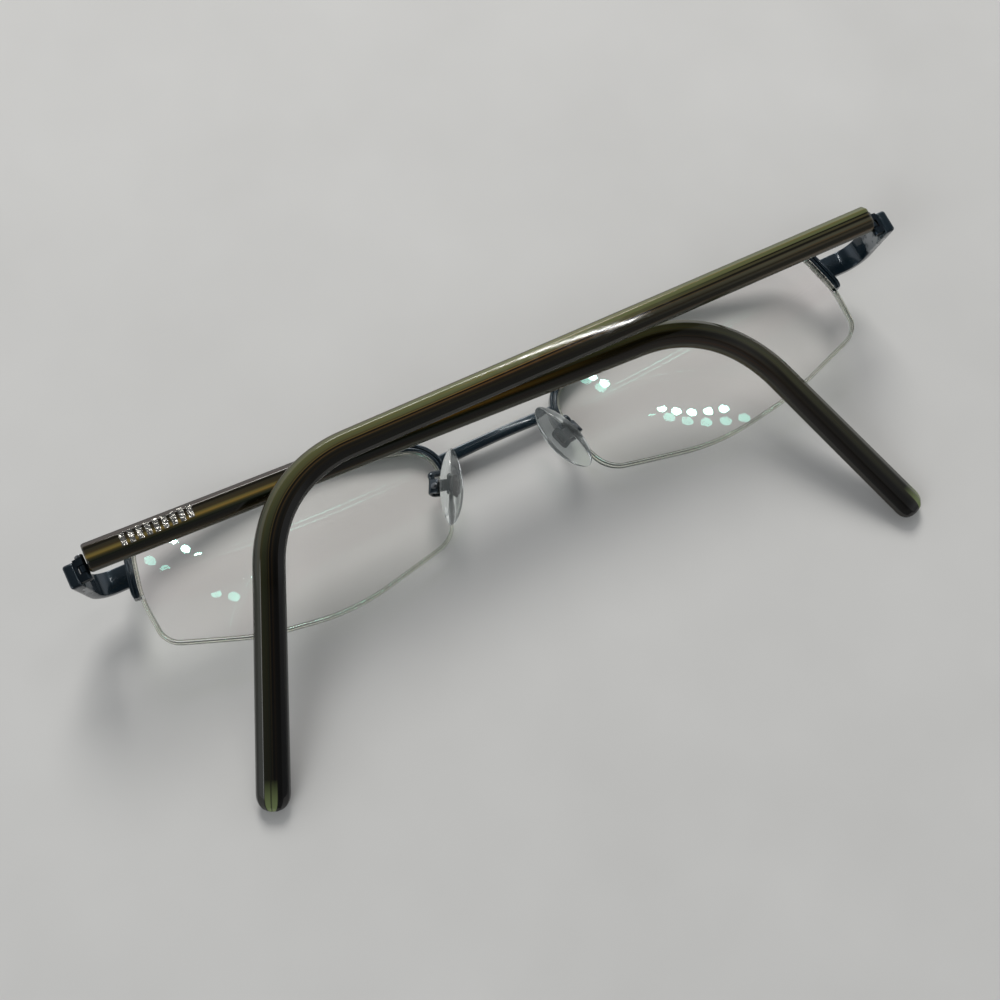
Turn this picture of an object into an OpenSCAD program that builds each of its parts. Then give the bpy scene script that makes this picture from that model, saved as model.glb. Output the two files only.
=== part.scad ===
// Half-rim eyeglasses with nylon-held lenses, lying folded on a table, face down.
// X runs across the front, Y towards the brow side, Z up from the table.
// "Left" and "right" are the sides as seen from above, at -X and +X.

/* [Front] */
// Width over the two endpieces
front_w = 130; // [118:1:150]
// Distance between the two lenses at their nearest
lens_gap = 20.6; // [16:0.2:26]
// Radius that the whole front surface of a lens is ground to
lens_radius = 120; // [90:5:200]
// Distance from the middle plane to the crown of a lens, its lowest point
crown_x = 21.1; // [16:0.1:26]
// How far below the hinge line datum that crown lies
crown_y = -2.5; // [-6:0.1:2]
// How far the lenses and bridge sit to the left of the middle between the hinges
front_shift = 0.4; // [0:0.1:0.6]

/* [Lenses] */
// Width of a lens
lens_w = 46.6; // [40:0.2:54]
// Height of a lens
lens_h = 22; // [18:0.2:28]
// Centre height of a lens, from the datum of the endpiece tops
lens_y = -7.6; // [-10:0.1:-5]
// Thickness of a lens
lens_thick = 2; // [1.4:0.1:3.2]
// Depth of the groove around the lens edge
groove_depth = 0.42; // [0.3:0.02:0.6]
// Half the width of that groove
groove_half = 0.3; // [0.2:0.02:0.4]

/* [Rims and bridge] */
// Thickness of the rim wire, seen from the front
rim_wall = 1.1; // [0.8:0.1:1.8]
// How far the rim stands past the lens, in front and behind
rim_proud = 0.08; // [0:0.02:0.1]
// Depth of the slot that holds the liner in the rim
slot_depth = 0.6; // [0.3:0.05:0.7]
// Height at which the rim ends beside the nose
rim_end_nose = -8.2; // [-11:0.1:-6]
// Height at which the rim ends at the temple side
rim_end_side = -5.7; // [-8:0.1:-5]
// Thickness of the nylon cord and of the liner, across the groove
cord_thick = 0.55; // [0.4:0.05:0.7]
// How far the cord stands out of the groove
cord_proud = 0.15; // [0:0.05:0.3]
// Height of the bridge bar
bridge_h = 1.8; // [1.2:0.1:3]
// Thickness of the bridge bar
bridge_thick = 1.3; // [0.9:0.1:2]
// Centre height of the bridge bar
bridge_y = -3.45; // [-5:0.05:-2]
// Rise of the bridge bar at its middle
bridge_rise = 0.5; // [0:0.1:2]

/* [Endpieces] */
// Height of the strip that carries the hinge
strip_h = 3.5; // [2.4:0.1:5]
// Thickness of the strip at the rim
strip_root = 1.2; // [0.9:0.1:1.6]
// Thickness of the strip at its end
strip_tip = 1.6; // [1.2:0.1:2.4]
// Height of the strip's end above the table
strip_top = 17.25; // [14:0.25:20]
// Height at which the strip leaves the rim
strip_low = 6.8; // [6.2:0.1:7.4]
// Radius of the strip's wrap-round bend
strip_bend = 3.6; // [2:0.2:5]
// How far the bend's corner stands in from the strip's end
strip_lean = 1.95; // [0.5:0.05:3]

/* [Hinges] */
// Radius of a hinge knuckle
knuckle_r = 0.85; // [0.7:0.05:1.1]
// Radius of the hinge screw
screw_r = 0.5; // [0.35:0.05:0.6]
// Length of the three knuckles together
knuckle_stack = 3.3; // [2.4:0.1:4.2]
// Running clearance of the hinge screw
screw_gap = 0.05; // [0.02:0.01:0.08]
// Gap between two knuckles
knuckle_gap = 0.04; // [0.02:0.01:0.1]
// Drop of the hinge centre below the endpiece tops
hinge_y = -1.45; // [-3:0.05:-0.5]
// How far the hinge centre lies below the strip's end
hinge_sink = 0.75; // [0.6:0.05:1.2]
// Radius of the hinge screw's head
head_r = 0.8; // [0.6:0.05:1]
// Thickness of the hinge screw's head
head_h = 0.4; // [0.3:0.05:0.8]
// Length of the hinge shank that is let into a temple
shank_l = 8; // [5:0.5:12]
// Thickness of that shank
shank_thick = 0.8; // [0.5:0.05:1]

/* [Temples] */
// Height of a temple's section
temple_h = 4.3; // [3.2:0.1:6]
// Thickness of a temple's section
temple_thick = 3; // [2.4:0.1:4]
// Height of the section at the ear tip
tip_h = 5; // [4:0.1:8]
// Thickness of the section at the ear tip
tip_thick = 2.66; // [2:0.1:4]
// Length from the hinge to where the two straight runs would meet
temple_l = 97.9; // [85:0.1:110]
// Length of the bent tip from that same corner
tip_l = 41.9; // [32:0.1:50]
// Angle of the left ear bend
left_bend = 64; // [45:0.2:75]
// Angle of the right ear bend
right_bend = 65.9; // [45:0.2:75]
// Radius of the left ear bend
left_radius = 21.1; // [16:0.1:26]
// Radius of the right ear bend
right_radius = 17.9; // [16:0.1:26]
// Share of the left bend that is passed before the tip curves in
left_curl_from = 0.14; // [0:0.02:0.6]
// Share of the right bend that is passed before the tip curves in
right_curl_from = 0.52; // [0:0.02:0.6]
// Height of a temple's middle above the hinge centre
temple_rise = 1.12; // [0.6:0.02:1.6]
// How far the inner face of a temple lies past the hinge centre
temple_inset = 0.75; // [0.5:0.05:1.2]
// Gap between an opened temple and the strip's end
butt_gap = 0.08; // [0.05:0.01:0.3]
// Angle of the folded left temple, below level
left_sink = 2.9; // [2:0.1:3.5]
// Angle of the folded right temple, above level
right_lift = 1.1; // [1:0.1:2]
// Droop of the left temple towards the cheek
left_droop = 1.4; // [0:0.1:1.6]
// Droop of the right temple towards the cheek
right_droop = 0.3; // [0:0.1:1]
// Height of the left tip's centre line above the table, at its end
left_tip_rest = 0.87; // [0.85:0.02:2]
// Height of the right tip's centre line above the table, at its end
right_tip_rest = 0.6; // [0.58:0.02:2]

/* [Nose pads] */
// Length of a pad
pad_l = 11.7; // [9:0.2:16]
// Width of a pad
pad_w = 5.1; // [4.6:0.1:8]
// Thickness of a pad at its middle
pad_thick = 1.9; // [1.6:0.1:3.2]
// Distance of the pad centres from the middle
pad_x = 9.1; // [8:0.1:12]
// How far both pads are bent over to the left
pad_bent = 1.7; // [0:0.1:1.8]
// Centre height of the pads
pad_y = -8.8; // [-12:0.1:-7]
// Height of the pad centres above the table
pad_z = 6; // [5.8:0.1:9]
// Turn of a pad's face from straight up towards the nose
pad_splay = 63; // [40:1:66]
// Lean of the left pad's top towards the nose
left_pad_lean = 27.5; // [0:0.5:32]
// Lean of the right pad's top towards the nose
right_pad_lean = 16.5; // [0:0.5:32]
// Distance from a pad's middle to its rocking screw
pad_stem = 2.35; // [2.2:0.05:3]
// Radius of the rocking screw
pad_screw_r = 0.35; // [0.25:0.05:0.4]
// Thickness of the wire that carries a pad
arm_wire = 1; // [0.8:0.05:1.4]

/* [Hidden] */
$fn = 48;

navy = [0.13, 0.2, 0.29];
steel = [0.6, 0.61, 0.63];
clear_lens = [0.86, 0.92, 0.9, 0.35];
nylon = [0.85, 0.87, 0.72];
olive = [0.27, 0.24, 0.09];
silicone = [0.85, 0.88, 0.87, 0.5];

// Corners of a lens, in half widths and half heights from its centre, and their radii.
lens_corners = [
    [-1.01, 0.6], [-0.37, 1.01], [0.92, 1.05], [1.004, 0.19],
    [0.98, -0.49], [0.43, -0.87], [-0.14, -1.03], [-0.9, -0.69], [-0.996, -0.04],
];
corner_radii = [4.6, 45, 5, 18, 3.2, 40, 35, 5, 20];

mid_radius = lens_radius - lens_thick / 2;
lens_x = lens_gap / 2 + lens_w / 2;

function unit(v) = v / norm(v);

// Points of the arc that rounds corner b, pushed out by d along its own radii.
function corner_arc(a, b, c, r, d, n) =
    let (
        u = unit(a - b),
        v = unit(c - b),
        half = acos(u * v) / 2,
        centre = b + unit(u + v) * r / sin(half),
        p = b + u * r / tan(half) - centre,
        q = b + v * r / tan(half) - centre,
        from = atan2(p[1], p[0]),
        swing = atan2(q[1], q[0]) - from,
        turn = swing > 180 ? swing - 360 : swing < -180 ? swing + 360 : swing
    )
    [for (i = [0 : n]) centre + (r + d) * [cos(from + turn * i / n), sin(from + turn * i / n)]];

// The right lens outline, d outside the glass.
function lens_outline(d) =
    let (
        n = len(lens_corners),
        at = [for (c = lens_corners) [lens_x + c[0] * lens_w / 2, lens_y + c[1] * lens_h / 2]]
    )
    [for (i = [0 : n - 1])
        each corner_arc(at[(i + n - 1) % n], at[i], at[(i + 1) % n],
            corner_radii[i], d, corner_radii[i] > 10 ? 4 : 8)];

// Place of the hinge centre, and of the strip's end.
strip_end_x = front_w / 2 - strip_tip / 2;
hinge_z = strip_top - hinge_sink;
strip_slope = strip_lean / (strip_top - strip_low);
hinge_x = strip_end_x - strip_tip / 2 - hinge_sink * strip_slope - knuckle_r - 0.05;
butt = hinge_sink + butt_gap;
knuckle_l = knuckle_stack / 3;
temple_mid = temple_thick / 2 - temple_inset;

// The strip's middle line in the X-Z plane: out from the rim, round, and up.
strip_start = lens_x + lens_w / 2 - 1;
strip_corner = [strip_end_x - strip_lean, strip_low];
strip_line = concat(
    [[strip_start, strip_low - 0.3]],
    corner_arc([strip_start, strip_low - 0.3], strip_corner,
        [strip_end_x, strip_top], strip_bend, 0, 10),
    [[strip_end_x, strip_top]]
);

// Points of a line pushed sideways by a distance that grows from d0 to d1.
function beside(line, d0, d1) =
    let (n = len(line))
    [for (i = [0 : n - 1])
        let (
            along = unit(line[min(i + 1, n - 1)] - line[max(i - 1, 0)]),
            d = d0 + (d1 - d0) * i / (n - 1)
        )
        i == n - 1
            ? [line[i][0] + d / abs(along[1]), line[i][1]]
            : line[i] + d * [along[1], -along[0]]];

// The set of each temple: ear bend, its radius, where the tip starts to curve in, droop,
// how far the folded temple rises from the level of its hinge, and its tip's height.
left_set = [left_bend, left_radius, left_curl_from, left_droop, -left_sink, left_tip_rest];
right_set = [right_bend, right_radius, right_curl_from, right_droop, right_lift,
    right_tip_rest];

// A temple's middle line. The two straight runs are joined by an arc, and the last part
// also curves in towards the head.
curl_blend = 13;
function bend_cut(f) = f[1] * tan(f[0] / 2);
function bend_start(f) = temple_l - bend_cut(f);
function bend_run(f) = f[1] * f[0] * PI / 180;
function tip_run(f) = tip_l - bend_cut(f);
function whole_run(f) = bend_start(f) + bend_run(f) + tip_run(f);

// Share of the bend that is passed at s, and the point of the middle line there.
function bent(s, f) = min(1, max(0, (s - bend_start(f)) / bend_run(f)));
function middle(s, f) =
    let (a = bent(s, f) * f[0], t = max(0, s - bend_start(f) - bend_run(f)))
    [min(s, bend_start(f)) + f[1] * sin(a) + t * cos(f[0]), f[1] * (cos(a) - 1) - t * sin(f[0])];

// How far the tip has curved in at s, for a full slope of one, and its slope there.
function past_curl(s, f) = max(0, s - bend_start(f) - bend_run(f) * f[2]);
function curl_length(s, f) =
    let (d = past_curl(s, f)) d < curl_blend ? d * d / 2 / curl_blend : d - curl_blend / 2;
function curl_slope(s, f) = min(1, past_curl(s, f) / curl_blend);

// Slope that brings the end of a folded tip down to the table.
function curl(f) =
    (hinge_z + temple_mid + sin(f[4]) * (temple_l + tip_l * cos(f[0])) - f[5])
        / curl_length(whole_run(f), f);

// Share of the section that is left at s, for the rounded end of the tip.
function rounding(s, f) =
    let (e = max(0, s - whole_run(f) + tip_h / 2) / (tip_h / 2)) sqrt(max(0.02, 1 - e * e));
// Share of the way from the temple's section to the tip's.
function grown(s, f) = min(1, max(0, s - bend_start(f)) / (whole_run(f) - bend_start(f)));

// Half the section, from its outer face round to its inner face, in shares of its size.
half_section = [[0.26, 0.5], [0.44, 0.24], [0.5, -0.06], [0.34, -0.5]];
section = concat(half_section, [for (i = [3 : -1 : 0]) [-half_section[i][0], half_section[i][1]]]);

function ring(s, f) =
    let (
        m = middle(s, f),
        a = bent(s, f) * f[0],
        slope = atan(curl(f) * curl_slope(s, f)),
        up = [sin(a), cos(a), 0],
        out = [cos(a) * sin(slope), -sin(a) * sin(slope), cos(slope)],
        c = [m[0], m[1], -curl(f) * curl_length(s, f)],
        k = rounding(s, f),
        high = k * (temple_h + (tip_h - temple_h) * grown(s, f)),
        thick = pow(k, 0.6) * (temple_thick + (tip_thick - temple_thick) * grown(s, f))
    )
    [for (q = section)
        let (p = c + up * q[0] * high + out * q[1] * thick)
        [p[0] * cos(f[3]) + p[1] * sin(f[3]),
            p[1] * cos(f[3]) - p[0] * sin(f[3]) + temple_rise, p[2] + temple_mid]];

function stations(f) = concat(
    [butt, bend_start(f)],
    [for (i = [1 : 12]) bend_start(f) + bend_run(f) * i / 12],
    [for (i = [1 : 5]) bend_start(f) + bend_run(f) + (tip_run(f) - tip_h / 2) * i / 5],
    [for (i = [1 : 5]) whole_run(f) - tip_h / 2 * (1 - sin(18 * i))]
);

// The part is centred over its footprint.
y_high = max([for (p = lens_outline(rim_wall)) p[1]]);
y_low = hinge_y + min([for (s = stations(left_set), p = ring(s, left_set)) p[1]]);
centre_y = -(y_high + y_low) / 2;

// Surface between two rings of points, closed at both ends.
module skin(rings) {
    n = len(rings[0]);
    m = len(rings);
    polyhedron(
        points = [for (r = rings) each r],
        faces = concat(
            [[for (i = [0 : n - 1]) i]],
            [for (j = [0 : m - 2], i = [0 : n - 1])
                [j * n + i, (j + 1) * n + i, (j + 1) * n + (i + 1) % n, j * n + (i + 1) % n]],
            [[for (i = [n - 1 : -1 : 0]) (m - 1) * n + i]]
        ),
        convexity = 6
    );
}

// Puts the right-hand form on the side asked for, centred over the footprint.
module place(side) {
    translate([0, centre_y, 0])
        if (side == "left") mirror([1, 0, 0]) children();
        else children();
}

// The same for what belongs to a lens.
module place_front(side) {
    translate([-front_shift, 0, 0]) place(side) children();
}

// Part of a prism that lies between two depths of the curved front.
// Depth is measured from the middle of the lens, towards the table when negative.
module on_front(low, high) {
    intersection() {
        translate([0, 0, -2]) linear_extrude(30) children();
        translate([crown_x, crown_y, lens_radius]) difference() {
            sphere(r = mid_radius - low, $fn = 180);
            sphere(r = mid_radius - high, $fn = 180);
        }
    }
}

// Ring around the lens between two distances from the glass edge.
module band(inside, outside) {
    difference() {
        polygon(lens_outline(outside));
        polygon(lens_outline(inside));
    }
}

// Ground above the line through the two ends of the rim.
module brow_side() {
    polygon([
        [0, rim_end_nose], [lens_x, rim_end_nose],
        [lens_x, rim_end_side], [front_w, rim_end_side],
        [front_w, 30], [0, 30],
    ]);
}

module rim_form() {
    reach = lens_thick / 2 + rim_proud;
    difference() {
        on_front(-reach, reach) intersection() {
            band(0, rim_wall);
            brow_side();
        }
        on_front(-groove_half, groove_half) band(-1, slot_depth);
    }
}

module rim(side) {
    color(navy) place_front(side) rim_form();
}

module rim_liner(side) {
    color(nylon) place_front(side)
        on_front(-cord_thick / 2, cord_thick / 2) intersection() {
            band(-groove_depth, slot_depth);
            brow_side();
        }
}

module lens_cord(side) {
    color(nylon) place_front(side)
        on_front(-cord_thick / 2, cord_thick / 2) difference() {
            band(-groove_depth, cord_proud);
            brow_side();
        }
}

module lens(side) {
    color(clear_lens) place_front(side) difference() {
        on_front(-lens_thick / 2, lens_thick / 2) polygon(lens_outline(0));
        on_front(-groove_half, groove_half) band(-groove_depth, 1);
    }
}

// Prism that fills the rim and the lens, for cutting what is soldered to the rim.
module rim_block() {
    translate([0, 0, -1]) linear_extrude(12) polygon(lens_outline(rim_wall));
}

module bridge() {
    half = lens_gap / 2;
    foot = lens_thick / 2 + (crown_x - half) * (crown_x - half) / 2 / lens_radius;
    arch = [for (i = [-6 : 6]) [half * i / 6, foot + bridge_rise * cos(15 * i)]];
    outline = concat(
        [for (p = arch) p + [0, bridge_thick / 2]],
        [for (i = [12 : -1 : 0]) arch[i] - [0, bridge_thick / 2]]
    );
    color(navy) translate([-front_shift, centre_y, 0]) difference() {
        translate([0, bridge_y + bridge_h / 2, 0]) rotate([90, 0, 0])
            linear_extrude(bridge_h) polygon(outline);
        rim_block();
        mirror([1, 0, 0]) rim_block();
    }
}

module strip_profile() {
    polygon(concat(
        beside(strip_line, strip_root / 2, strip_tip / 2),
        [for (i = [len(strip_line) - 1 : -1 : 0])
            beside(strip_line, -strip_root / 2, -strip_tip / 2)[i]]
    ));
}

module strip() {
    rotate([90, 0, 0]) linear_extrude(strip_h) strip_profile();
}

module endpiece(side) {
    color(navy) difference() {
        place(side) strip();
        place_front(side) rim_block();
    }
}

// Cylinder along Y at the hinge centre, from one height to another.
module on_hinge(r, low, high) {
    translate([hinge_x, hinge_y + high, hinge_z]) rotate([90, 0, 0])
        cylinder(r = r, h = high - low);
}

module front_knuckle(low, high) {
    difference() {
        union() {
            on_hinge(knuckle_r, low, high);
            translate([hinge_x, hinge_y + low, hinge_z - knuckle_r])
                cube([knuckle_r + strip_tip, high - low, knuckle_r + hinge_sink - 0.15]);
        }
        on_hinge(screw_r, low - 1, high + 1);
        strip();
        translate([strip_end_x, hinge_y + low - 1, 0])
            cube([10, high - low + 2, 30]);
    }
}

module front_hinge(side) {
    color(steel) place(side) {
        front_knuckle(knuckle_l / 2, knuckle_stack / 2);
        front_knuckle(-knuckle_stack / 2, -knuckle_l / 2);
    }
}

module hinge_screw(side) {
    top = knuckle_stack / 2;
    color(steel) place(side) {
        difference() {
            on_hinge(head_r, top, top + head_h);
            translate([hinge_x - head_r, hinge_y + top + head_h / 2, hinge_z - 0.1])
                cube([2 * head_r, head_h, 0.2]);
        }
        on_hinge(screw_r, -top, top);
    }
}

// Moves a form from its own frame, hinge centre at the origin and the temple along +X,
// to its folded place.
module folded(side) {
    rise = side == "left" ? left_set[4] : right_set[4];
    translate([0, centre_y, 0]) mirror([side == "left" ? 0 : 1, 0, 0])
        translate([-hinge_x, hinge_y, hinge_z]) rotate([0, -rise, 0]) children();
}

module shank(grow) {
    low = -temple_inset + 0.3;
    width = knuckle_l - 2 * knuckle_gap;
    translate([0, -width / 2, low])
        cube([butt + shank_l, width, shank_thick]);
}

module temple_hinge(side) {
    width = knuckle_l - 2 * knuckle_gap;
    color(steel) folded(side) difference() {
        union() {
            translate([0, width / 2, 0]) rotate([90, 0, 0]) cylinder(r = knuckle_r, h = width);
            shank();
        }
        translate([0, width, 0]) rotate([90, 0, 0])
            cylinder(r = screw_r + screw_gap, h = 2 * width);
    }
}

module temple(side) {
    f = side == "left" ? left_set : right_set;
    color(olive) folded(side) difference() {
        skin([for (s = stations(f)) ring(s, f)]);
        shank();
        translate([0, 10, 0]) rotate([90, 0, 0]) cylinder(r = knuckle_r + 0.1, h = 20);
    }
}

// Plain upright bars let into the outer face of the left temple.
module left_temple_bars() {
    bar = [0.75, 1.9, 0.06];
    color(steel) folded("left")
        for (i = [0 : 8])
            translate([butt + 5.2 + 1.19 * i, 0, temple_mid + temple_thick / 2])
                rotate([0, 0, -left_droop])
                    translate([-bar[0] / 2, temple_rise - bar[1] / 2, 0]) cube(bar);
}

// Frame of a nose pad: Z out of its face, Y along it, X along its rocking screw.
module at_pad(side) {
    shift = side == "left" ? pad_bent : -pad_bent;
    lean = side == "left" ? left_pad_lean : right_pad_lean;
    place(side) translate([pad_x + shift, pad_y, pad_z])
        rotate([0, 0, lean]) rotate([0, -pad_splay, 0]) children();
}

module pad_outline(grow) {
    polygon([for (i = [0 : 31])
        let (a = 360 * i / 32, taper = 1 - 0.1 * sin(a))
        [(pad_w / 2 + grow) * cos(a) * taper, (pad_l / 2 + grow) * sin(a)]]);
}

plate = [2.6, 4.4, 0.5];
stem = [0.9, 1.5];

// The plate moulded into the pad, and the eye that stands out of its back.
module insert_form() {
    translate([-plate[0] / 2, -plate[1] / 2, -plate[2] / 2]) cube(plate);
    translate([-stem[0] / 2, -stem[1] / 2, -pad_stem]) cube([stem[0], stem[1], pad_stem]);
    translate([-stem[0] / 2, 0, -pad_stem]) rotate([0, 90, 0])
        cylinder(d = stem[1], h = stem[0]);
}

module pad_insert(side) {
    color(steel) at_pad(side) difference() {
        insert_form();
        translate([-2, 0, -pad_stem]) rotate([0, 90, 0])
            cylinder(r = pad_screw_r + screw_gap, h = 4);
    }
}

module nose_pad(side) {
    bow = 18;
    color(silicone) at_pad(side) difference() {
        intersection() {
            translate([0, 0, -pad_thick]) linear_extrude(2 * pad_thick) pad_outline(0);
            translate([0, 0, pad_thick / 2 - bow]) sphere(r = bow, $fn = 240);
            translate([0, 0, 1.4 * bow - pad_thick / 2]) sphere(r = 1.4 * bow, $fn = 240);
        }
        insert_form();
    }
}

box = [2.3, 2.5];
box_back = 1.35;
box_front = 0.6;

module pad_screw(side) {
    color(steel) at_pad(side) {
        translate([-box[0] / 2, 0, -pad_stem]) rotate([0, 90, 0])
            cylinder(r = pad_screw_r, h = box[0]);
        translate([box[0] / 2, 0, -pad_stem]) rotate([0, 90, 0])
            cylinder(r = pad_screw_r + 0.25, h = 0.25);
    }
}

// Point between b and c on the smooth curve through a, b, c and d.
function between(a, b, c, d, t) =
    0.5 * (2 * b + (c - a) * t + (2 * a - 5 * b + 4 * c - d) * t * t
        + (3 * b - a - 3 * c + d) * t * t * t);
function smooth(p, n) =
    [for (j = [0 : len(p) - 2], i = [0 : n - 1])
        between(p[max(j - 1, 0)], p[j], p[j + 1], p[min(j + 2, len(p) - 1)], i / n),
        p[len(p) - 1]];

// Round wire along a line of points.
module wire(line, d) {
    n = len(line);
    skin([for (i = [0 : n - 1])
        let (
            along = unit(line[min(i + 1, n - 1)] - line[max(i - 1, 0)]),
            u = unit(cross(along, [0.3, 1, 0.2])),
            v = cross(along, u)
        )
        [for (k = [0 : 7]) line[i] + d / 2 * (cos(45 * k) * u + sin(45 * k) * v)]]);
}

// A loop of wire from the back of the rim to the box that holds the pad's eye.
module pad_arm(side) {
    shift = side == "left" ? pad_bent : -pad_bent;
    lean = side == "left" ? left_pad_lean : right_pad_lean;
    root_x = lens_gap / 2 - rim_wall / 2 + (side == "left" ? front_shift : -front_shift);
    root_y = bridge_y - 2.1;
    reach = lens_thick / 2 + rim_proud;
    root_z = lens_radius
        - sqrt(pow(mid_radius - reach, 2) - pow(crown_x - root_x, 2) - pow(root_y - crown_y, 2));
    back = pad_stem + box_back - 0.3;
    seat = [
        pad_x + shift + back * sin(pad_splay) * cos(lean),
        pad_y + back * sin(pad_splay) * sin(lean) + 0.6,
        pad_z - back * cos(pad_splay),
    ];
    color(navy) {
        difference() {
            place(side) wire(smooth([
                [root_x - 0.1, root_y, root_z - 0.5],
                [root_x + 0.2, root_y - 0.1, root_z + 0.8],
                [seat[0] + 0.7, (root_y + seat[1]) / 2 + 0.4, seat[2] + 0.7],
                [seat[0] + 1.3, seat[1] + 0.7, seat[2] + 0.5],
                [seat[0] + 0.4, seat[1], seat[2]],
            ], 4), arm_wire);
            place_front(side) on_front(-9, reach) polygon(lens_outline(rim_wall));
        }
        at_pad(side) translate([0, 0, -pad_stem]) difference() {
            translate([-box[0] / 2, -box[1] / 2, -box_back])
                cube([box[0], box[1], box_back + box_front]);
            translate([-stem[0] / 2 - 0.08, -box[1], -box_back + 0.45])
                cube([stem[0] + 0.16, 2 * box[1], 4]);
            translate([-3, 0, 0]) rotate([0, 90, 0]) cylinder(r = pad_screw_r, h = 6);
        }
    }
}

bridge();
rim("left");  // left_rim
rim("right");  // right_rim
rim_liner("left");  // left_rim_liner
rim_liner("right");  // right_rim_liner
lens("left");  // left_lens
lens("right");  // right_lens
lens_cord("left");  // left_lens_cord
lens_cord("right");  // right_lens_cord
endpiece("left");  // left_endpiece
endpiece("right");  // right_endpiece
front_hinge("left");  // left_front_hinge
front_hinge("right");  // right_front_hinge
hinge_screw("left");  // left_hinge_screw
hinge_screw("right");  // right_hinge_screw
temple_hinge("left");  // left_temple_hinge
temple_hinge("right");  // right_temple_hinge
temple("left");  // left_temple
temple("right");  // right_temple
left_temple_bars();
pad_arm("left");  // left_pad_arm
pad_arm("right");  // right_pad_arm
pad_screw("left");  // left_pad_screw
pad_screw("right");  // right_pad_screw
pad_insert("left");  // left_pad_insert
pad_insert("right");  // right_pad_insert
nose_pad("left");  // left_nose_pad
nose_pad("right");  // right_nose_pad
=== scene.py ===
import math
import bpy
import numpy as np
from mathutils import Matrix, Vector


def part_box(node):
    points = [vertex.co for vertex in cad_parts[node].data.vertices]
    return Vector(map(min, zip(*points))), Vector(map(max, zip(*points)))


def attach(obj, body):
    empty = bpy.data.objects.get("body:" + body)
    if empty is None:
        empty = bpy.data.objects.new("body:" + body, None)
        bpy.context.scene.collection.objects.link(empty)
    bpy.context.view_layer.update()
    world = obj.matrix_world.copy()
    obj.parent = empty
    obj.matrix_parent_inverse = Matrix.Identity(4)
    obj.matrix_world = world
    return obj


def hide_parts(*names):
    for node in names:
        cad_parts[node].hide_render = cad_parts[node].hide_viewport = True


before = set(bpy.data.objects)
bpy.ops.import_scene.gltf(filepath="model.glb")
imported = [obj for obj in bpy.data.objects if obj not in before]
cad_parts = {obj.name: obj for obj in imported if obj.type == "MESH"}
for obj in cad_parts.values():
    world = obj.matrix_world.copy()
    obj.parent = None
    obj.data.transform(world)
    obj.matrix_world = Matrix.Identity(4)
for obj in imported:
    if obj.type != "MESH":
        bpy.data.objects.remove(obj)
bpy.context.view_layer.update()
mm = 0.001
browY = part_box("left_endpiece")[1].y / mm  # height of the endpiece tops, the front's datum
print("frame loaded")

# sizes of the curved front, in millimetres
front = {
    "shift": 0.4,          # lenses and bridge sit this far to the left
    "gap": 20.6,           # between the lenses
    "lensW": 46.6,
    "lensH": 22.0,
    "lensY": -7.6,
    "radius": 120.0,       # front surface of both lenses
    "thick": 2.0,
    "crownX": 21.1,
    "crownY": -2.5,
    "endNose": -8.2,       # the rim ends here beside the nose
    "endSide": -5.7,       # and here beside the temple
}
lensX = front["gap"] / 2 + front["lensW"] / 2
# corners of the lens outline, as shares of its half width and half height, and their radii
corners = [
    (-1.01, 0.6, 4.6), (-0.37, 1.01, 45), (0.92, 1.05, 5), (1.004, 0.19, 18), (0.98, -0.49, 3.2),
    (0.43, -0.87, 40), (-0.14, -1.03, 35), (-0.9, -0.69, 5), (-0.996, -0.04, 20),
]


def unit(v):
    v = np.asarray(v, float)
    return v / np.linalg.norm(v)


# ---- meshes

def newMesh(name, verts, faces, body, mat, crease=35, data=None):
    mesh = bpy.data.meshes.new(name)
    mesh.from_pydata([tuple(v) for v in np.asarray(verts, float) * mm], [], [tuple(f) for f in faces])
    mesh.update()
    mesh.shade_smooth()
    mesh.set_sharp_from_angle(angle=math.radians(crease))
    for key, values in (data or {}).items():
        values = np.asarray(values, np.float32)
        kind = "FLOAT_VECTOR" if values.ndim == 2 else "FLOAT"
        at = mesh.attributes.new(key, kind, "POINT")
        at.data.foreach_set("vector" if values.ndim == 2 else "value", values.ravel())
    mesh.materials.append(mat)
    obj = bpy.data.objects.new(name, mesh)
    bpy.context.scene.collection.objects.link(obj)
    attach(obj, body)
    return obj


def faceOut(verts, faces):
    # turns every face round if the closed shape is inside out
    v = np.asarray(verts, float)
    volume = 0.0
    for f in faces:
        for i in range(1, len(f) - 1):
            volume += np.dot(v[f[0]], np.cross(v[f[i]], v[f[i + 1]]))
    return [tuple(reversed(f)) for f in faces] if volume < 0 else faces


def loft(rings, closed=False):
    # skin over a row of closed rings; the ends are capped unless the row closes on itself
    rings = np.asarray(rings, float)
    m, n = rings.shape[:2]
    faces = []
    for j in range(m if closed else m - 1):
        a, b = j * n, (j + 1) % m * n
        faces += [(a + i, b + i, b + (i + 1) % n, a + (i + 1) % n) for i in range(n)]
    if not closed:
        faces += [tuple(range(n)), tuple((m - 1) * n + i for i in reversed(range(n)))]
    verts = rings.reshape(-1, 3)
    return verts, faceOut(verts, faces)


def rounded(points, radii, steps=4):
    # closed outline with its corners rounded; also gives the outward directions
    points = [np.asarray(p, float) for p in points]
    out, normals = [], []
    for i, b in enumerate(points):
        a, c = points[i - 1], points[(i + 1) % len(points)]
        r = radii[i] if isinstance(radii, (list, tuple)) else radii
        u, v = unit(a - b), unit(c - b)
        half = math.acos(max(-1, min(1, u @ v))) / 2
        centre = b + unit(u + v) * r / math.sin(half)
        p, q = b + u * r / math.tan(half) - centre, b + v * r / math.tan(half) - centre
        start = math.atan2(p[1], p[0])
        swing = (math.atan2(q[1], q[0]) - start + math.pi) % (2 * math.pi) - math.pi
        for k in range(steps + 1):
            n = np.array([math.cos(start + swing * k / steps), math.sin(start + swing * k / steps)])
            out.append(centre + r * n)
            normals.append(n)
    return np.array(out), np.array(normals)


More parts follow.
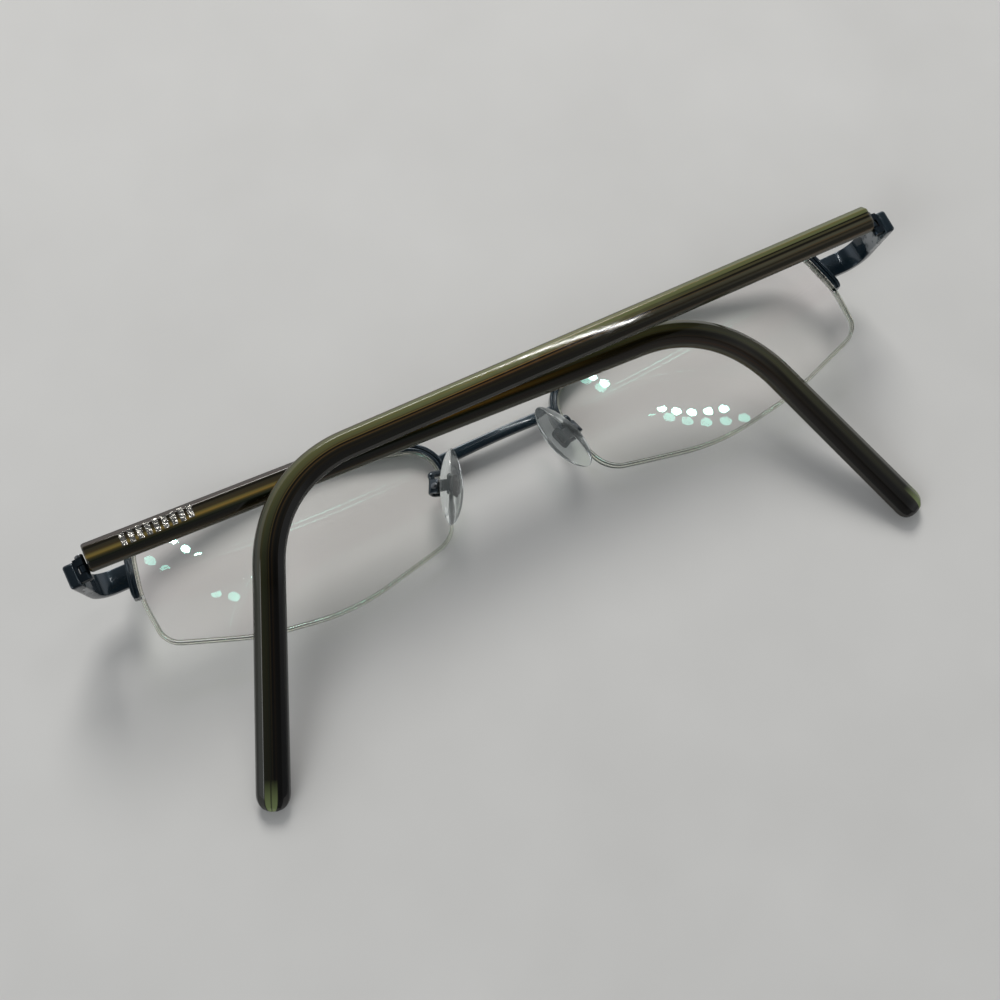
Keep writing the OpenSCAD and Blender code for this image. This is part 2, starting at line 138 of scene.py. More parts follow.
def resample(points, count, closed=False):
    points = np.asarray(points, float)
    if closed:
        points = np.vstack([points, points[:1]])
    d = np.r_[0, np.cumsum(np.linalg.norm(np.diff(points, axis=0), axis=1))]
    t = np.linspace(0, d[-1], count + 1)[:-1] if closed else np.linspace(0, d[-1], count)
    return np.stack([np.interp(t, d, points[:, k]) for k in range(points.shape[1])], 1), t


def tube(line, radii, sides=12):
    # round wire along a line; radii is one number or one for each point, and the ends are domed
    line = np.asarray(line, float)
    radii = np.full(len(line), radii) if np.isscalar(radii) else np.asarray(radii, float)
    t0, t1 = unit(line[0] - line[1]), unit(line[-1] - line[-2])
    dome = [(0.95, 0.31), (0.7, 0.71), (0.25, 0.97)]
    pts = [line[0] + t0 * radii[0] * s for c, s in reversed(dome)] + list(line)
    pts += [line[-1] + t1 * radii[-1] * s for c, s in dome]
    rad = [radii[0] * c for c, s in reversed(dome)] + list(radii) + [radii[-1] * c for c, s in dome]
    pts = np.array(pts)
    along = np.gradient(pts, axis=0)
    u = np.cross(along[0], [0.31, 0.2, 0.93])
    rings = []
    for p, t, r in zip(pts, along, rad):
        t = unit(t)
        u = unit(u - t * (u @ t))
        v = np.cross(t, u)
        a = np.linspace(0, 2 * math.pi, sides, endpoint=False)[:, None]
        rings.append(p + r * (np.cos(a) * u + np.sin(a) * v))
    return loft(rings)


def smoothLine(points, per=8):
    p = np.asarray(points, float)
    out = []
    for j in range(len(p) - 1):
        a, b, c, d = p[max(j - 1, 0)], p[j], p[j + 1], p[min(j + 2, len(p) - 1)]
        for i in range(per):
            t = i / per
            out.append(0.5 * (2 * b + (c - a) * t + (2 * a - 5 * b + 4 * c - d) * t * t
                              + (3 * b - a - 3 * c + d) * t ** 3))
    return np.array(out + [p[-1]])


def joinParts(parts):
    verts, faces = [], []
    for v, f in parts:
        faces += [tuple(i + len(verts) for i in face) for face in f]
        verts += list(v)
    return np.array(verts), faces


def mirrored(verts, faces, side):
    if side == "left":
        return np.asarray(verts) * [-1, 1, 1], [tuple(reversed(f)) for f in faces]
    return verts, faces


def placed(verts, faces, side, onFront=True):
    # right-hand form, heights from the datum, to its place in the frame
    verts, faces = mirrored(verts, faces, side)
    return verts + [-front["shift"] if onFront else 0, browY, 0], faces


def frontPoint(xy, depth):
    # a point of the curved front; depth is from the middle of the lens, away from the table
    xy = np.atleast_2d(xy)
    r2 = (xy[:, 0] - front["crownX"]) ** 2 + (xy[:, 1] - front["crownY"]) ** 2
    mid = front["radius"] - front["thick"] / 2
    return np.c_[xy, front["radius"] - np.sqrt((mid - depth) ** 2 - r2)]


lensCorners = [(lensX + x * front["lensW"] / 2, front["lensY"] + y * front["lensH"] / 2)
               for x, y, _ in corners]
lensEdge, lensOut = rounded(lensCorners, [r for _, _, r in corners], 12)


def edgeAt(offset, count=360):
    # the lens outline pushed out by offset, in even steps, with its outward directions
    both = np.c_[lensEdge, lensOut]
    even, _ = resample(both, count, closed=True)
    n = even[:, 2:] / np.linalg.norm(even[:, 2:], axis=1)[:, None]
    return even[:, :2] + n * offset, n


def onBrow(xy):
    return (xy[:, 1] > front["endSide"]) | ((xy[:, 0] < lensX) & (xy[:, 1] > front["endNose"]))


def partOfEdge(brow):
    # indices of the outline that belong to the rim, or to the cord, in one run
    xy, _ = edgeAt(0)
    mask = onBrow(xy) if brow else ~onBrow(xy)
    n = len(mask)
    start = next(i for i in range(n) if mask[i] and not mask[i - 1])
    return [(start + k) % n for k in range(n) if mask[(start + k) % n]]


# ---- materials

def material(name):
    mat = bpy.data.materials.new(name)
    mat.use_nodes = True
    nt = mat.node_tree
    nt.nodes.clear()
    out = nt.nodes.new("ShaderNodeOutputMaterial")
    bsdf = nt.nodes.new("ShaderNodeBsdfPrincipled")
    nt.links.new(bsdf.outputs[0], out.inputs[0])
    return mat, nt, bsdf, out


def node(nt, kind, inputs=None, **props):
    n = nt.nodes.new(kind)
    for k, v in props.items():
        setattr(n, k, v)
    for k, v in (inputs or {}).items():
        if hasattr(v, "is_output"):
            nt.links.new(v, n.inputs[k])
        else:
            n.inputs[k].default_value = v
    return n


def ramp(nt, fac, stops):
    n = node(nt, "ShaderNodeValToRGB", {"Fac": fac})
    while len(n.color_ramp.elements) < len(stops):
        n.color_ramp.elements.new(0.5)
    for e, (p, c) in zip(n.color_ramp.elements, stops):
        e.position = p
        e.color = (*c, 1) if len(c) == 3 else c
    return n.outputs["Color"]


def grain(nt, scale, detail=3, vector=None):
    vector = vector or node(nt, "ShaderNodeTexCoord").outputs["Object"]
    return node(nt, "ShaderNodeTexNoise", {"Vector": vector, "Scale": scale, "Detail": detail,
                                           "Roughness": 0.55}).outputs["Fac"]


def blended(nt, kind, fac, a, b):
    inputs = {0: fac, 6: a, 7: b}
    return node(nt, "ShaderNodeMix", inputs, data_type="RGBA", blend_type=kind).outputs[2]


def bump(nt, bsdf, height, strength, distance):
    b = node(nt, "ShaderNodeBump", {"Height": height, "Strength": strength, "Distance": distance})
    nt.links.new(b.outputs[0], bsdf.inputs["Normal"])


def lampsThrough(nt, bsdf, out, tint):
    # lamps reach what lies behind, as they do through thin clear stuff
    path = node(nt, "ShaderNodeLightPath")
    clear = node(nt, "ShaderNodeBsdfTransparent", {"Color": (*tint, 1)})
    shown = bsdf.outputs[0]
    for ray in ("Is Shadow Ray", "Is Diffuse Ray"):
        mix = node(nt, "ShaderNodeMixShader", {0: path.outputs[ray], 1: shown, 2: clear.outputs[0]})
        shown = mix.outputs[0]
    nt.links.new(shown, out.inputs[0])


def lacquer(name, worn):
    # a mesh attribute says where the lacquer shows bare grey metal: rubbed through to it where worn, and on
    # the endpieces' lower edges as a painted highlight
    mat, nt, bsdf, _ = material(name)
    speck = grain(nt, 2600, 2)
    cloud = grain(nt, 160, 3)
    base = ramp(nt, cloud, [(0.3, (0.006, 0.013, 0.020)), (0.7, (0.011, 0.026, 0.038))])
    attr = node(nt, "ShaderNodeAttribute", attribute_name="wearAndSheen")
    edge = node(nt, "ShaderNodeMath", {0: attr.outputs["Fac"], 1: grain(nt, 900, 4)}, operation="MULTIPLY")
    # bare grey metal mixed in: real wear, and on the endpieces a painted highlight
    rub = ramp(nt, edge.outputs[0], [(0.3, (0, 0, 0)), (0.46, (worn, worn, worn))])
    nt.links.new(blended(nt, "MIX", rub, base, (0.34, 0.35, 0.36, 1)), bsdf.inputs["Base Color"])
    sheen = ramp(nt, edge.outputs[0], [(0.3, (0.24,) * 3), (0.5, (0.42,) * 3)])
    nt.links.new(sheen, bsdf.inputs["Roughness"])
    bsdf.inputs["Metallic"].default_value = 0.6
    bsdf.inputs["Coat Weight"].default_value = 0.6
    bsdf.inputs["Coat Roughness"].default_value = 0.08
    bump(nt, bsdf, speck, 0.12, 0.00002)
    return mat


def plainMetal(name, colour, rough, metallic=1.0, dents=(0.15, 0.00003)):
    mat, nt, bsdf, _ = material(name)
    cloud = grain(nt, 1400, 4)
    dark = tuple(c * 0.7 for c in colour)
    nt.links.new(ramp(nt, cloud, [(0.3, dark), (0.65, colour)]), bsdf.inputs["Base Color"])
    nt.links.new(ramp(nt, cloud, [(0.3, (rough * 1.4,) * 3), (0.7, (rough,) * 3)]), bsdf.inputs["Roughness"])
    bsdf.inputs["Metallic"].default_value = metallic
    bump(nt, bsdf, cloud, *dents)
    return mat


def lensGlass():
    mat, nt, bsdf, out = material("coated lens")
    bsdf.inputs["Base Color"].default_value = (0.975, 0.985, 0.975, 1)
    bsdf.inputs["Roughness"].default_value = 0.0
    bsdf.inputs["IOR"].default_value = 1.5
    bsdf.inputs["Transmission Weight"].default_value = 1.0
    bsdf.inputs["Specular Tint"].default_value = (0.35, 1.0, 0.82, 1)
    lampsThrough(nt, bsdf, out, (0.955, 0.965, 0.955))
    return mat


def nylon():
    mat, nt, bsdf, out = material("nylon cord")
    tone = grain(nt, 240, 2)
    colour = ramp(nt, tone, [(0.3, (0.86, 0.87, 0.75)), (0.7, (0.92, 0.92, 0.86))])
    nt.links.new(colour, bsdf.inputs["Base Color"])
    bsdf.inputs["Roughness"].default_value = 0.12
    bsdf.inputs["IOR"].default_value = 1.53
    bsdf.inputs["Transmission Weight"].default_value = 0.86
    bump(nt, bsdf, grain(nt, 3000, 2), 0.2, 0.00003)
    lampsThrough(nt, bsdf, out, (0.92, 0.92, 0.86))
    return mat


def silicone():
    mat, nt, bsdf, out = material("pad silicone")
    tone = grain(nt, 500, 3)
    colour = ramp(nt, tone, [(0.35, (0.86, 0.9, 0.89)), (0.7, (0.94, 0.96, 0.95))])
    nt.links.new(colour, bsdf.inputs["Base Color"])
    bsdf.inputs["Roughness"].default_value = 0.06
    bsdf.inputs["IOR"].default_value = 1.41
    bsdf.inputs["Transmission Weight"].default_value = 0.94
    bump(nt, bsdf, grain(nt, 700, 3), 0.12, 0.0001)
    lampsThrough(nt, bsdf, out, (0.8, 0.83, 0.82))
    return mat


# looks that both sheets share; the end where a glow of light is painted on the tip is in metres along the
# temple
sheet = {"drift": (14, 1.2, 1.2), "sway": 0.08, "streak": (24, 22, 1), "glowEnd": (0.1349, 0.1364),
         "soft": 0.03}


def acetate(name, near, far, turn, fade, pale):
    # laminated sheet: stripes run along the temple, read from each point's own place in the section;
    # near turns into far over turn, fade darkens it along, and pale is the band across where a glow of light
    # through the thin end is painted
    mat, nt, bsdf, _ = material(name)
    place = node(nt, "ShaderNodeAttribute", attribute_name="section")
    xyz = node(nt, "ShaderNodeSeparateXYZ", {0: place.outputs["Vector"]})
    stretch = node(nt, "ShaderNodeMapping", {"Vector": place.outputs["Vector"], "Scale": sheet["drift"]})
    drift = grain(nt, 1.0, 3, stretch.outputs[0])
    sway = {0: drift, 1: sheet["sway"], 2: -sheet["sway"] / 2}
    wander = node(nt, "ShaderNodeMath", sway, operation="MULTIPLY_ADD").outputs[0]
    across = node(nt, "ShaderNodeMath", {0: xyz.outputs["Y"], 1: wander}, operation="ADD").outputs[0]
    off, on = (0, 0, 0), (1, 1, 1)
    where = ramp(nt, xyz.outputs["X"], [(turn[0], off), (turn[1], on)])
    bands = blended(nt, "MIX", where, ramp(nt, across, near), ramp(nt, across, far))
    streak = node(nt, "ShaderNodeMapping", {"Vector": place.outputs["Vector"], "Scale": sheet["streak"]})
    warm = ramp(nt, grain(nt, 1.0, 2, streak.outputs[0]), [(0.52, (1, 1, 1)), (0.68, (1.5, 1.0, 0.7))])
    along = ramp(nt, xyz.outputs["X"], [(p, (v,) * 3) for p, v in fade])
    dark = blended(nt, "MULTIPLY", 1.0, blended(nt, "MULTIPLY", 1.0, bands, warm), along)
    # painted light: a pale green glow on the very end of the tip stands in for light shining through the thin
    # acetate
    end = ramp(nt, xyz.outputs["X"], list(zip(sheet["glowEnd"], (off, on))))
    (lo, hi), soft = pale, sheet["soft"]
    split = (lo + hi) / 2
    glowSpot = ramp(nt, across, [(lo - soft, off), (lo, on), (split - soft, on), (split, off),
                             (split + soft, on), (hi, on), (hi + soft, off)])
    # the colour of the painted glow
    glow = node(nt, "ShaderNodeRGB")
    glow.outputs[0].default_value = (0.2, 0.25, 0.1, 1)
    tip = blended(nt, "MULTIPLY", 1.0, end, glowSpot)
    nt.links.new(blended(nt, "MIX", tip, dark, glow.outputs[0]), bsdf.inputs["Base Color"])
    scuff = grain(nt, 700, 4)
    nt.links.new(ramp(nt, scuff, [(0.45, (0.05,) * 3), (0.8, (0.13,) * 3)]), bsdf.inputs["Roughness"])
    bsdf.inputs["IOR"].default_value = 1.49
    bump(nt, bsdf, grain(nt, 240, 2), 0.04, 0.0001)
    return mat


# stripes across each temple, from its lower to its upper edge, by the hinge and along the tip
olive, dull, tan = (0.094, 0.104, 0.042), (0.042, 0.042, 0.02), (0.055, 0.052, 0.032)
ink, umber, gold = (0.0045, 0.0035, 0.001), (0.018, 0.015, 0.007), (0.17, 0.12, 0.03)
rightNear = [
    (0.00, dull), (0.05, tan), (0.11, umber), (0.16, umber), (0.20, tan), (0.25, umber), (0.33, tan),
    (0.38, tan), (0.43, ink), (0.47, ink), (0.51, dull), (0.55, dull), (0.575, ink), (0.60, ink),
    (0.63, olive), (0.80, olive), (0.9, (0.066, 0.074, 0.034)),
]
rightFar = [
    (0.00, umber), (0.08, (0.010, 0.010, 0.005)), (0.18, ink), (0.25, umber), (0.31, ink), (0.37, umber),
    (0.41, (0.08, 0.045, 0.012)), (0.44, ink), (0.475, ink), (0.50, gold), (0.525, dull), (0.56, olive),
    (0.72, (0.14, 0.15, 0.06)), (0.86, olive), (0.95, dull),
]
leftNear = [
    (0.00, dull), (0.10, umber), (0.16, ink), (0.24, (0.006, 0.009, 0.004)), (0.31, (0.02, 0.02, 0.008)),
    (0.35, (0.07, 0.05, 0.010)), (0.39, gold), (0.45, (0.12, 0.09, 0.025)), (0.50, (0.035, 0.028, 0.012)),
    (0.62, (0.026, 0.022, 0.012)), (0.67, ink), (0.75, umber), (0.84, (0.05, 0.036, 0.032)), (0.92, ink),
    (0.97, dull),
]
leftFar = [
    (0.00, dull), (0.08, (0.03, 0.026, 0.020)), (0.20, (0.016, 0.012, 0.008)), (0.32, umber), (0.40, ink),
    (0.47, (0.012, 0.010, 0.002)), (0.52, dull), (0.60, (0.05, 0.055, 0.022)), (0.66, dull),
    (0.74, (0.034, 0.037, 0.014)), (0.9, (0.045, 0.05, 0.022)), (0.97, dull),
]


lacquerFrame = lacquer("petrol lacquer", 0.35)
# the endpieces' lacquer shows its bare grey at full strength, for real wear and for the painted highlight
# along their lower edges
lacquerWornAndSheen = lacquer("worn petrol lacquer with painted sheen", 1.0)
hingeMetal = plainMetal("dark hinge metal", (0.02, 0.028, 0.036), 0.3)
screwMetal = plainMetal("screw metal", (0.16, 0.17, 0.18), 0.25)
barMetal = plainMetal("bar metal", (0.42, 0.41, 0.38), 0.16, 1.0, (0.9, 0.0002))
insertMetal = plainMetal("insert metal", (0.07, 0.078, 0.08), 0.3, 0.5)
lensMat, nylonMat, siliconeMat = lensGlass(), nylon(), silicone()
acetateMats = {
    # the last pair on each is the band across the tip end where the painted glow shows
    "right": acetate("striped acetate", rightNear, rightFar, (0.02, 0.055),
                     [(0.0, 1.0), (0.07, 0.85), (0.09, 0.6), (0.106, 0.16), (0.14, 0.05)], (0.4, 0.72)),
    "left": acetate("gold striped acetate", leftNear, leftFar, (0.055, 0.08),
                    [(0.0, 0.9), (0.1, 1.0), (0.116, 0.4), (0.14, 0.12)], (0.62, 0.94)),
}
print("materials made")

# ---- lenses

lensDetail = {"rings": 40, "sides": 300, "bevel": 0.12, "groove": 0.4, "grooveHalf": 0.26, "floorShare": 0.6,
              "hollow": 0.2, "reach": 27.0, "middle": 10.0}


def makeLens(side):
    half = front["thick"] / 2

    def backPoint(xy, depth):
        # the back is more curved than the front, so the lens is thinnest about its crown
        r2 = (xy[:, 0] - front["crownX"]) ** 2 + (xy[:, 1] - front["crownY"]) ** 2
        return frontPoint(xy, depth - lensDetail["hollow"] * (1 - r2 / lensDetail["reach"] ** 2))

    edge, n = edgeAt(0, lensDetail["sides"])
    centre = np.array([front["crownX"] + lensDetail["middle"], front["lensY"]])
    shares = np.linspace(0.0, 1.0, lensDetail["rings"] + 1)[1:]
    inner = edge - n * lensDetail["bevel"]
    rows = [backPoint(centre + (inner - centre) * s, half) for s in shares]
    rows.append(backPoint(edge, half - lensDetail["bevel"]))
    floor, wide = edge - n * lensDetail["groove"], lensDetail["grooveHalf"]
    narrow = wide * lensDetail["floorShare"]
    rows += [frontPoint(edge, wide), frontPoint(floor, narrow)]
    rows += [frontPoint(floor, -narrow), frontPoint(edge, -wide)]
    rows.append(frontPoint(edge, -half + lensDetail["bevel"]))
    rows += [frontPoint(centre + (inner - centre) * s, -half) for s in shares[::-1]]
    m, c = len(rows), len(edge)
    verts = np.vstack(rows + [backPoint(centre[None], half), frontPoint(centre, -half)])
    faces = [(j * c + i, (j + 1) * c + i, (j + 1) * c + (i + 1) % c, j * c + (i + 1) % c)
             for j in range(m - 1) for i in range(c)]
    faces += [(m * c, i, (i + 1) % c) for i in range(c)]
    faces += [(m * c + 1, (m - 1) * c + (i + 1) % c, (m - 1) * c + i) for i in range(c)]
    faces = faceOut(verts, faces)
    verts, faces = placed(verts, faces, side)
    lens = newMesh(f"{side}_lens_glass", verts, faces, "front", lensMat, 25)
    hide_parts(f"{side}_lens")


for side in ("left", "right"):
    makeLens(side)
print("lenses made")

# ---- half-rims and their liners

rimDetail = {"wall": 1.1, "proud": 0.08, "channelAt": 0.52, "channelHalf": 0.13, "channelDeep": 0.3,
             "channelFloor": 0.6, "seat": 0.58, "seatHalf": 0.3, "ends": (0.7, 0.88, 0.97),
             "wearAndSheen": 0.27, "endWearAndSheen": 0.3, "wearFade": 3}
linerDetail = {"in": -0.4, "out": 0.57, "half": 0.25, "round": 0.1}


def sweepOnFront(indices, section, offset=0.0):
    # section is a closed row of (outward, depth) pairs
    xy, n = edgeAt(offset)
    return np.array([frontPoint(xy[i] + np.outer(section[:, 0], n[i]), section[:, 1]) for i in indices])


def makeRim(side):
    w, top = rimDetail["wall"], front["thick"] / 2 + rimDetail["proud"]
    c, h, floor = rimDetail["channelAt"], rimDetail["channelHalf"], top - rimDetail["channelDeep"]
    low, seat, s = h * rimDetail["channelFloor"], rimDetail["seat"], rimDetail["seatHalf"]
    shape = [(0, -top), (w, -top), (w, top), (c + h, top), (c + low, floor), (c - low, floor), (c - h, top),
             (0, top), (0, s), (seat, s), (seat, -s), (0, -s)]
    radii = [0.14, 0.3, 0.22, 0.1, 0.03, 0.03, 0.1, 0.14, 0.03, 0.03, 0.03, 0.03]
    section, _ = rounded(shape, radii, 3)
    rings = sweepOnFront(partOfEdge(True), section)
    for k, f in enumerate(rimDetail["ends"]):
        for j in (k, len(rings) - 1 - k):
            rings[j] = rings[j].mean(0) + (rings[j] - rings[j].mean(0)) * f
    verts, faces = loft(rings)
    wearAndSheen = np.zeros(len(verts))
    for j in range(len(rings)):
        k = min(j, len(rings) - 1 - j)
        worn = rimDetail["endWearAndSheen"] * math.exp(-k / rimDetail["wearFade"]) + rimDetail["wearAndSheen"]
        wearAndSheen[j * len(section):(j + 1) * len(section)] = worn
    verts, faces = placed(verts, faces, side)
    rim = newMesh(f"{side}_half_rim", verts, faces, "front", lacquerFrame, 50, {"wearAndSheen": wearAndSheen})
    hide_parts(f"{side}_rim")
    a, b, h = linerDetail["in"], linerDetail["out"], linerDetail["half"]
    liner, _ = rounded([(a, -h), (b, -h), (b, h), (a, h)], linerDetail["round"], 3)
    verts, faces = placed(*loft(sweepOnFront(partOfEdge(True)[1:-1], liner)), side)
    piece = newMesh(f"{side}_liner", verts, faces, "front", nylonMat)
    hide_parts(f"{side}_rim_liner")


for side in ("left", "right"):
    makeRim(side)
print("rims made")

# ---- nylon cords: a curve in each lens groove, made round by a node tree

cordDetail = {"radius": 0.27, "sink": 0.12, "sides": 12}


def pathToTube(name, mat):
    tree = bpy.data.node_groups.new(name, "GeometryNodeTree")
    tree.interface.new_socket("Geometry", in_out="INPUT", socket_type="NodeSocketGeometry")
    radius = tree.interface.new_socket("Radius", in_out="INPUT", socket_type="NodeSocketFloat")
    sides = tree.interface.new_socket("Sides", in_out="INPUT", socket_type="NodeSocketInt")
    tree.interface.new_socket("Geometry", in_out="OUTPUT", socket_type="NodeSocketGeometry")
    start, end = tree.nodes.new("NodeGroupInput"), tree.nodes.new("NodeGroupOutput")
    line = tree.nodes.new("GeometryNodeMeshToCurve")
    circle = tree.nodes.new("GeometryNodeCurvePrimitiveCircle")
    sweep = tree.nodes.new("GeometryNodeCurveToMesh")
    sweep.inputs["Fill Caps"].default_value = True
    real = tree.nodes.new("GeometryNodeRealizeInstances")
    paint = tree.nodes.new("GeometryNodeSetMaterial")
    paint.inputs["Material"].default_value = mat
    link = tree.links.new
    link(start.outputs["Geometry"], line.inputs[0])
    link(start.outputs["Sides"], circle.inputs["Resolution"])
    link(start.outputs["Radius"], circle.inputs["Radius"])
    link(line.outputs[0], sweep.inputs["Curve"])
    link(circle.outputs[0], sweep.inputs["Profile Curve"])
    link(sweep.outputs[0], real.inputs[0])
    link(real.outputs[0], paint.inputs[0])
    link(paint.outputs[0], end.inputs[0])
    return tree, {"Radius": radius.identifier, "Sides": sides.identifier}


def bakeTree(obj, tree, ids, values, name):
    mod = obj.modifiers.new("build", "NODES")
    mod.node_group = tree
    for key, value in values.items():
        mod[ids[key]] = value
    bpy.context.view_layer.update()
    ready = obj.evaluated_get(bpy.context.evaluated_depsgraph_get())
    mesh = bpy.data.meshes.new_from_object(ready)
    mesh.name = name
    obj.modifiers.remove(mod)
    bpy.data.objects.remove(obj)
    made = bpy.data.objects.new(name, mesh)
    bpy.context.scene.collection.objects.link(made)
    mesh.shade_smooth()
    mesh.set_sharp_from_angle(angle=math.radians(40))
    return made


def pathObject(points):
    mesh = bpy.data.meshes.new("path")
    mesh.from_pydata([tuple(p * mm) for p in points], [(i, i + 1) for i in range(len(points) - 1)], [])
    obj = bpy.data.objects.new("path", mesh)
    bpy.context.scene.collection.objects.link(obj)
    return obj


cordTree, cordIds = pathToTube("cord tube", nylonMat)
for side in ("left", "right"):
    xy, _ = edgeAt(-cordDetail["sink"])
    pts, _ = placed(frontPoint(xy[partOfEdge(False)], 0.0), [], side)
    cord = bakeTree(pathObject(pts), cordTree, cordIds,
                    {"Radius": cordDetail["radius"] * mm, "Sides": cordDetail["sides"]}, f"{side}_nylon_cord")
    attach(cord, "front")
    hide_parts(f"{side}_lens_cord")
print("cords made")

# ---- bridge

bridge = {"h": 1.8, "thick": 1.3, "y": -3.45, "rise": 0.5, "inset": 0.75, "arch": 0.06, "waist": 0.9,
          "backEdge": 0.3, "frontEdge": 0.24, "wearAndSheen": 0.3}


def makeBridge():
    half = front["gap"] / 2 - bridge["inset"]
    foot = front["thick"] / 2 + (front["crownX"] - half) ** 2 / 2 / front["radius"]
    h, d = bridge["h"] / 2, bridge["thick"] / 2
    edges = [bridge["backEdge"]] * 2 + [bridge["frontEdge"]] * 2
    section, _ = rounded([(-h, -d), (h, -d), (h, d), (-h, d)], edges, 5)
    rings = []
    for t in np.linspace(-1, 1, 41):
        swell = bridge["waist"] + (1 - bridge["waist"]) * t * t
        y = bridge["y"] + bridge["arch"] * (1 - t * t)
        z = foot + bridge["rise"] * math.cos(math.pi / 2 * t)
        slope = math.atan(-bridge["rise"] * math.pi / 2 * math.sin(math.pi / 2 * t) / half)
        rings.append([(half * t - math.sin(slope) * d, y + q * swell, z + math.cos(slope) * d)
                      for q, d in section])
    verts, faces = loft(rings)
    wearAndSheen = np.full(len(verts), bridge["wearAndSheen"])
    verts = verts + [-front["shift"], browY, 0]
    piece = newMesh("bridge_bar", verts, faces, "front", lacquerFrame, 50, {"wearAndSheen": wearAndSheen})
    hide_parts("bridge")


makeBridge()
print("bridge made")

# ---- endpieces

endpiece = {
    "h": 3.5, "root": 1.2, "tip": 1.6, "top": 17.25, "low": 6.8, "bend": 3.6, "lean": 1.95, "w": 130.0,
    "from": {"left": 0.48, "right": -0.32},   # past the lens; the rims sit off centre
    "dip": 0.17, "stations": 60, "rootShare": 0.96, "edges": [0.16, 0.4, 0.4, 0.16],
    "trim": 0.15, "nose": 0.38, "flat": 0.1, "clear": 0.7,   # the rounded top end
    # the lower-edge values paint a highlight, a bare grey band along the lower edge that is weaker at the top
    # end; the rub values are real wear on the inner face
    "wearAndSheen": 0.2, "lowHighlight": 0.5, "endWearAndSheen": 0.1, "highlightBand": 0.45, "rub": 0.6, "rubAt": 0.72, "rubWide": 0.12,
    "rubSide": -0.2, "highlightUntil": 0.85,
}
stripX = endpiece["w"] / 2 - endpiece["tip"] / 2


def makeEndpiece(side):
    e = endpiece
    start = np.array([lensX + front["lensW"] / 2 + e["from"][side], e["low"] - e["dip"]])
    corner = np.array([stripX - e["lean"], e["low"]])
    end = np.array([stripX, e["top"]])
    u, v = unit(start - corner), unit(end - corner)
    half = math.acos(u @ v) / 2
    centre = corner + unit(u + v) * e["bend"] / math.sin(half)
    p, q = (corner + w * e["bend"] / math.tan(half) - centre for w in (u, v))
    a0 = math.atan2(p[1], p[0])
    swing = (math.atan2(q[1], q[0]) - a0 + math.pi) % (2 * math.pi) - math.pi
    arc = [centre + e["bend"] * np.array([math.cos(a), math.sin(a)]) for a in np.linspace(a0, a0 + swing, 21)]
    line, run = resample([start, *arc, end], e["stations"])
    last, nose = run[-1] - e["trim"], e["nose"]
    marks = np.r_[run[run < last - e["clear"]], last - nose * (1 - np.sin(np.linspace(0, math.pi / 2, 7)))]
    turns = np.gradient(line, axis=0)
    rings, wearAndSheen = [], []
    for at in marks:
        s, back = at / run[-1], max(0.0, at - last + nose)
        pt, t = [np.array([np.interp(at, run, q[:, 0]), np.interp(at, run, q[:, 1])]) for q in (line, turns)]
        t = unit(t)
        n = np.array([t[1], -t[0]]) if at < last - nose - e["flat"] else np.array([1.0, 0.0])
        inset = nose - math.sqrt(max(0.0, nose ** 2 - back ** 2))
        thick = e["root"] + (e["tip"] - e["root"]) * s
        h = e["h"] * (e["rootShare"] + (1 - e["rootShare"]) * s)
        box = [(-thick / 2, -h / 2), (thick / 2, -h / 2), (thick / 2, h / 2), (-thick / 2, h / 2)]
        section, _ = rounded(box, e["edges"], 4)
        small = 1 - 2 * inset * np.array([1 / thick, 1 / h])
        rings.append([(pt[0] + n[0] * d, y - e["h"] / 2, pt[1] + n[1] * d) for d, y in section * small])
        # a band of bare grey along the lower edge is a painted highlight; on the inner face, where the hinge
        # leaf rubs, the lacquer is worn
        inner = e["rub"] * math.exp(-((s - e["rubAt"]) / e["rubWide"]) ** 2)
        edge = e["lowHighlight"] * s if s < e["highlightUntil"] else e["endWearAndSheen"]
        wearAndSheen += [e["wearAndSheen"] + (edge if y < -h / 2 + e["highlightBand"] else 0) + (inner if d < e["rubSide"] else 0)
                 for d, y in section]
    verts, faces = placed(*loft(rings), side, onFront=False)
    piece = newMesh(f"{side}_end_strip", verts, faces, "front", lacquerWornAndSheen, 45, {"wearAndSheen": wearAndSheen})
    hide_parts(f"{side}_endpiece")


for side in ("left", "right"):
    makeEndpiece(side)
print("endpieces made")

# ---- temples

hinge = {
    "sink": 0.75, "r": 0.85, "y": -1.45, "butt": 0.66, "pin": 0.6, "stack": 3.3, "head": 0.4, "off": 0.05,
    "web": 1.05, "webTop": 0.45, "plate": 0.69, "plateMore": 0.1,   # the front leaf behind its knuckles
    "leafIn": 0.2, "leafOut": 2.6, "leafLow": -0.4, "leafTop": 0.3, "play": 0.04,   # the temple leaf
    "gap": 0.01, "neck": 0.18, "slotHalf": 0.1, "slotDeep": 0.26, "shank": 0.5,   # the screw
}
stripSlope = endpiece["lean"] / (endpiece["top"] - endpiece["low"])
hinge["x"] = stripX - endpiece["tip"] / 2 - hinge["sink"] * stripSlope - hinge["r"] - hinge["off"]
hinge["z"] = endpiece["top"] - hinge["sink"]
temple = {
    "h": 4.3, "thick": 3.0, "tipH": 5.0, "tipThick": 2.66, "length": 97.9, "tipLength": 41.9,
    "rise": 1.12, "inset": 0.75, "blend": 13.0, "rings": 150, "buttRun": 0.5,
    "tipBow": 2.6, "tipRound": 0.42, "tipFlat": 0.7,   # how the very end of the tip rounds off
}
templeMid = temple["thick"] / 2 - temple["inset"]
